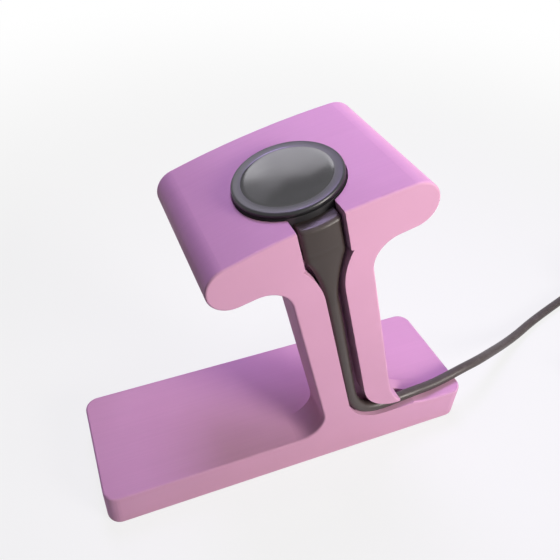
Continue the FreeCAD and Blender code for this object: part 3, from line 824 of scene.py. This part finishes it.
def relief_rings(look):
    """Sections of a cone with a groove after each rib."""
    low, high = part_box("plug_relief")
    tip, root = 1.9 * MM, 2.9 * MM
    # a rib and its groove, as shares of the distance from rib to rib
    rib, groove_length, per_rib = 0.45, 0.5, 8
    # the tip is rounded over one part of this many
    rounding, rounding_parts = 0.5 * MM, 14
    count = look.ribs * per_rib
    rings = []
    for index in range(count + 1):
        along = index / count
        phase = along * look.ribs % 1
        groove = 0
        if phase > rib:
            groove = look.rib_depth * max(0.0, math.sin(math.pi * (phase - rib) / groove_length))
        end = rounding * max(0.0, 1 - along * rounding_parts) ** 2
        radius = root + (tip - root) * (1 - along) - groove - end
        rings.append(plug_ring(high.x + (low.x - high.x) * along, radius, radius, radius))
    return rings


def grip_rings():
    """Sections of the grip, rounded at both ends, with shallow grooves to hold it by."""
    low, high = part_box("plug_grip")
    half_wide, half_high = (high.y - low.y) / 2, (high.z - low.z) / 2
    rounding, corner, groove_depth = 1.5 * MM, 2.0 * MM, 0.22 * MM
    # in millimetres: the first groove from the cable's end, and the distance between grooves
    first, pitch, grooves = 5.0, 1.9, 5
    # in millimetres: half a groove's width at its top and at its floor
    half_top, half_floor = 0.6, 0.3
    # shares of the way through an end's rounding, and the mark of a groove's floor
    stops, floor = [0.0, 0.1, 0.3, 0.6, 1.0], -1.0
    places = [(low.x + s * rounding, s) for s in stops]
    for groove in range(grooves):
        middle = high.x - (first + pitch * groove) * MM
        for offset in (half_top, half_floor, -half_floor, -half_top):
            places.append((middle + offset * MM, 1.0 if abs(offset) > half_floor else floor))
    places += [(high.x - s * rounding, s) for s in stops]
    rings = []
    for x, stop in sorted(places):
        inset = rounding * (1 - math.sqrt(1 - (1 - stop) ** 2)) if stop >= 0 else groove_depth
        rings.append(plug_ring(x, half_wide - inset, half_high - inset, corner))
    return rings


def make_shell(steel):
    """A folded steel tube with two square windows above and below."""
    low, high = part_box("plug_shell")
    half_wide, half_high = (high.y - low.y) / 2, (high.z - low.z) / 2
    wall, corner, steps = 0.3 * MM, 0.7 * MM, 4
    # the windows' edges: near and far from the shell's middle, front and back from its open end
    near, far = 1.85 * MM, 4.35 * MM
    front, back = low.x + 4.9 * MM, low.x + 7.4 * MM
    side = []
    for middle, start in ((half_wide - corner, 0), (corner - half_wide, 90)):
        for step in range(steps + 1):
            angle = math.radians(start + 90 * step / steps)
            up = half_high - corner + corner * math.sin(angle)
            side.append((middle + corner * math.cos(angle), up))
        if start == 0:
            side += [(across, half_high) for across in (far, near, -near, -far)]
    outline = side + [(-across, -up) for across, up in side]
    made = bmesh.new()
    rows = []
    for x in (low.x, front, back, high.x):
        rows.append([made.verts.new((x, PLUG_AXIS.y + a, PLUG_AXIS.z + b)) for a, b in outline])
    for corners in quads(rows):
        middle = sum((v.co for v in corners), Vector()) / 4 - PLUG_AXIS
        inside = near < abs(middle.y) < far and front < middle.x < back
        flat = abs(middle.z) > half_high * 0.99
        if not (inside and flat):
            made.faces.new(corners)
    shell = finish_mesh("plug_sleeve", made, steel, sharp=35)
    skin = shell.modifiers.new("wall", "SOLIDIFY")
    skin.thickness = wall
    skin.offset = -1
    return shell


class BuildNeck(bpy.types.Operator):
    """Make the moulded neck that holds the cable at the puck"""

    bl_idname = "watchdock.neck"
    bl_label = "Moulded neck"

    def execute(self, context):
        look = context.scene.watchdock_neck
        rubber = finish(
            "neck_rubber", look.rubber, 0.36, 0.46, grain=2600.0, patch=110.0, depth=0.06,
            bump=0.2, dust=0.06,
        )
        neck = loft("neck_moulding", neck_rings(look), rubber, sharp=60)
        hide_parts("cable_neck")
        return {"FINISHED"}


def neck_rings(look):
    """Sections from the neck's top at the puck to its round tip, which meets the cable's sleeve."""
    front, top, shoulder = 0.4 * MM, HEAD_TOP - 1.5 * MM, 71 * MM
    tip = top - 26 * MM
    half, low_half = look.width / 2, look.tip / 2
    thinner = (look.thickness - look.tip) / 2
    # from the top: its edge is rounded, and the line across the neck is where the collar ends
    rounding, collar = 0.85 * MM, 0.9 * MM
    # below the line the face comes forward again by a share of the step, from here over a length
    fade, fade_start, fade_length = 0.6, 1 * MM, 7 * MM
    groove, groove_height, groove_half = 0.1 * MM, 73 * MM, 0.6 * MM
    # the plate's corner and its middle, and how far the sleeve lies beside that middle
    plate_corner, plate_middle, aside = 1.2 * MM, 0.25 * MM, 0.8 * MM
    # sections are close together down to the end of the collar, then evenly spaced to the tip
    dense, count = 1.6 * MM, 44
    heights = [top - step * MM for step in (0, 0.08, 0.3, 0.6, 0.85, 0.95, 1.05, 1.6)]
    heights += [top - dense + (tip - top + dense) * k / count for k in range(1, count + 1)]
    rings = []
    for height in heights:
        waist = half
        if height < shoulder:
            drop, side = shoulder - tip, half - low_half
            radius = (drop ** 2 + side ** 2) / (2 * side)
            waist = low_half + radius - math.sqrt(max(radius ** 2 - (height - tip) ** 2, 0))
        from_top = top - height
        inset = rounding * max(0.0, 1 - from_top / rounding) ** 2
        near = front + inset + (look.step if from_top > collar else 0)
        near -= look.step * fade * clamp((from_top - fade_start) / fade_length)
        near += groove * max(0.0, 1 - abs(height - groove_height) / groove_half)
        # the lower part turns from a flat plate into a round sleeve, beside the slot's left wall
        turned = ease(clamp((shoulder - height) / (shoulder - tip)))
        near += (front + thinner - near) * turned
        far = front + look.thickness - thinner * turned
        corner = plate_corner + (low_half - plate_corner) * turned
        crown = look.crown * (1 - turned)
        middle = plate_middle - aside * turned
        rings.append(neck_ring(height, middle, waist - inset * 0.5, near, far, corner, crown))
    return rings


def neck_ring(height, middle, half, near, far, corner, crown):
    """One section, whose face is crowned and whose back lies on the puck where the puck reaches."""
    # the puck's underside, and how far above it the neck's back starts to follow the puck
    seat, margin = HEAD_TOP - 6.6 * MM, 0.3 * MM
    rounding, clearance = 0.15 * MM, 0.02 * MM
    ring = []
    for across, depth in rounded_box(half, near, far, corner, steps=8, along=12):
        depth += crown * (across / half) ** 2 * (far - depth) / (far - near)
        if height > seat + margin and depth > (near + far) / 2:
            reach = math.sqrt(max(PUCK_RADIUS ** 2 - (middle + across) ** 2, 0))
            depth = PUCK_DEPTH - reach - clearance - min(far - depth, rounding)
        ring.append(in_stem(middle + across, height, depth))
    return ring


class FinishStand(bpy.types.Operator):
    """Give the printed stand its layered plastic"""

    bl_idname = "watchdock.stand"
    bl_label = "Stand"

    def execute(self, context):
        look = context.scene.watchdock_stand
        dress(["dock_stand"], printed_plastic(look))
        return {"FINISHED"}


class FinishPuck(bpy.types.Operator):
    """Give the charging puck its glossy cover and satin housing"""

    bl_idname = "watchdock.puck"
    bl_label = "Puck"

    def execute(self, context):
        look = context.scene.watchdock_puck
        cover = lathe("dished_cover", cover_profile(look), cover_plastic(look))
        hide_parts("puck_cover")
        dress(["puck_housing"], finish("housing_plastic", look.housing, 0.4, 0.5, bump=0.3))
        foam = finish("foam_pad", linear(60, 60, 60), 0.8, 0.9, bump=0.6, height=0.0001)
        dress(["puck_base_pad"], foam)
        return {"FINISHED"}


def cover_profile(look):
    """The cover's outline from under its middle, over its rim, to the middle of its dish."""
    low, high = HEAD_TOP + 0.2 * MM, HEAD_TOP + 1.7 * MM
    foot, edge, dish = 0.15 * MM, 0.7 * MM, 0.5 * MM
    # the soft lip between rim and dish: half its width, and its drop
    lip, drop = 0.12 * MM, 0.06 * MM
    edge_steps, dish_steps = 8, 24
    inner = PUCK_RADIUS - look.rim
    profile = [(0, low), (PUCK_RADIUS - foot, low), (PUCK_RADIUS, low + foot)]
    for step in range(edge_steps + 1):
        angle = math.radians(90 * step / edge_steps)
        out, up = edge * math.cos(angle), edge * math.sin(angle)
        profile.append((PUCK_RADIUS - edge + out, high - edge + up))
    profile += [(inner + lip, high), (inner, high - drop / 2)]
    for step in range(1, dish_steps + 1):
        reach = 1 - step / dish_steps
        profile.append(((inner - lip) * reach, high - drop - (dish - drop) * (1 - reach ** 2)))
    return profile


def lathe(name, profile, material):
    """A closed round piece on the puck's axis, from its outline of distances and heights."""
    around, merged = 96, 0.001 * MM
    turns = [math.tau * k / around for k in range(around)]
    made = bmesh.new()
    rows = []
    for reach, height in profile:
        ring = [(reach * math.cos(t), height, PUCK_DEPTH + reach * math.sin(t)) for t in turns]
        rows.append([made.verts.new(in_stem(*place)) for place in ring])
    for corners in quads(rows):
        made.faces.new(corners)
    bmesh.ops.remove_doubles(made, verts=made.verts, dist=merged)
    return finish_mesh(name, made, material, sharp=60)


class FinishInside(bpy.types.Operator):
    """Give the parts inside the puck their finishes"""

    bl_idname = "watchdock.inside"
    bl_label = "Inside the puck"

    def execute(self, context):
        look = context.scene.watchdock_inside
        dress(["charging_coil"], wound_copper(look))
        ferrite = finish("pressed_ferrite", look.ferrite, 0.55, 0.7, depth=0.1, bump=0.4)
        dress(["ferrite_shield"], ferrite)
        dress(["alignment_magnet"], finish("nickel_plate", look.magnet, 0.2, 0.32, Metallic=1.0))
        lacquer = finish("board_lacquer", look.board, 0.25, 0.35, depth=0.12, patch=400.0)
        dress(["circuit_board"], lacquer)
        resin = finish("chip_resin", linear(34, 34, 36), 0.5, 0.6)
        dress(["controller_chip", "power_inductor"], resin)
        clay = finish("capacitor_clay", linear(170, 136, 104), 0.4, 0.5)
        dress(["capacitor_1", "capacitor_2"], clay)
        dress(["supply_lead_1"], finish("lead_red", linear(176, 34, 32), 0.35, 0.45))
        dress(["supply_lead_2"], finish("lead_black", linear(30, 30, 32), 0.35, 0.45))
        return {"FINISHED"}


LOOKS = {
    "watchdock_stage": StageLook,
    "watchdock_cord": CordLook,
    "watchdock_tie": TieLook,
    "watchdock_plug": PlugLook,
    "watchdock_neck": NeckLook,
    "watchdock_stand": StandLook,
    "watchdock_puck": PuckLook,
    "watchdock_inside": InsideLook,
}
STEPS = (
    BuildStage, BuildCord, BuildTie, BuildPlug, BuildNeck, FinishStand, FinishPuck, FinishInside,
)


class DockPanel(bpy.types.Panel):
    """Lists the dock's pieces, with their sizes and colours"""

    bl_idname = "VIEW3D_PT_watchdock"
    bl_label = "Watch charging dock"
    bl_space_type = "VIEW_3D"
    bl_region_type = "UI"
    bl_category = "Watch dock"

    def draw(self, context):
        for (group, look), step in zip(LOOKS.items(), STEPS):
            box = self.layout.box()
            box.operator(step.bl_idname)
            for name in look.__annotations__:
                box.prop(getattr(context.scene, group), name)


def register():
    for group, look in LOOKS.items():
        bpy.utils.register_class(look)
        setattr(bpy.types.Scene, group, bpy.props.PointerProperty(type=look))
    for item in (*STEPS, DockPanel):
        bpy.utils.register_class(item)


def unregister():
    for item in reversed((*STEPS, DockPanel)):
        bpy.utils.unregister_class(item)
    for group, look in LOOKS.items():
        delattr(bpy.types.Scene, group)
        bpy.utils.unregister_class(look)


def main():
    register()
    for step in ("stage", "cord", "tie", "plug", "neck", "stand", "puck", "inside"):
        getattr(bpy.ops.watchdock, step)()


if __name__ == "__main__":
    main()
